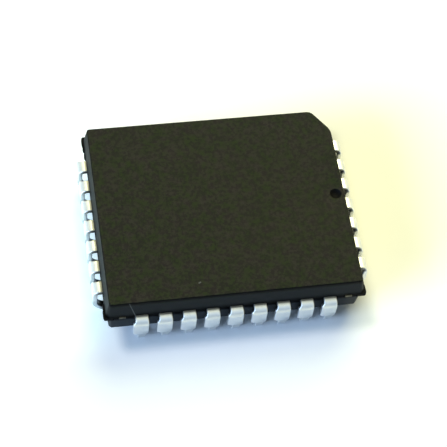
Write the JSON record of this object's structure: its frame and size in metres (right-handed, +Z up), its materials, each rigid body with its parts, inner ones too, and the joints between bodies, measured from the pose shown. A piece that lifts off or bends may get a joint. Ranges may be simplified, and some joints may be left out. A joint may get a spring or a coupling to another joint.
{
  "type": "plastic leaded chip carrier",
  "caption": "Rectangular plastic leaded chip carrier: a black moulded body with tinned J leads along all four sides, a cut index corner and a pin 1 dimple.",
  "frame": {"origin": "on the seating plane that the J leads stand on, under the middle of the body", "axes": "+X along the body's length towards the pin 1 end, +Y across its width with the cut index corner at +X and +Y, +Z up out of the top face"},
  "size_m": [0.015, 0.0124, 0.0034],
  "materials": {
    "mould_compound": "fine matte grain",
    "tinned_lead": "bright matte tin",
    "bare_copper": "stamped sheet",
    "silver_adhesive": "cured paste",
    "silicon": "polished",
    "gold_wire": "drawn wire"
  },
  "bodies": {
    "root": {"moulded_body": "mould_compound", "lead_01": "tinned_lead", "lead_02": "tinned_lead", "lead_03": "tinned_lead", "lead_04": "tinned_lead", "lead_05": "tinned_lead", "lead_06": "tinned_lead", "lead_07": "tinned_lead", "lead_08": "tinned_lead", "lead_09": "tinned_lead", "lead_10": "tinned_lead", "lead_11": "tinned_lead", "lead_12": "tinned_lead", "lead_13": "tinned_lead", "lead_14": "tinned_lead", "lead_15": "tinned_lead", "lead_16": "tinned_lead", "lead_17": "tinned_lead", "lead_18": "tinned_lead", "lead_19": "tinned_lead", "lead_20": "tinned_lead", "lead_21": "tinned_lead", "lead_22": "tinned_lead", "lead_23": "tinned_lead", "lead_24": "tinned_lead", "lead_25": "tinned_lead", "lead_26": "tinned_lead", "lead_27": "tinned_lead", "lead_28": "tinned_lead", "lead_29": "tinned_lead", "lead_30": "tinned_lead", "lead_31": "tinned_lead", "lead_32": "tinned_lead", "die_paddle": "bare_copper", "die_attach": "silver_adhesive", "die": "silicon", "bond_wires": "gold_wire"}
  },
  "joints": []
}
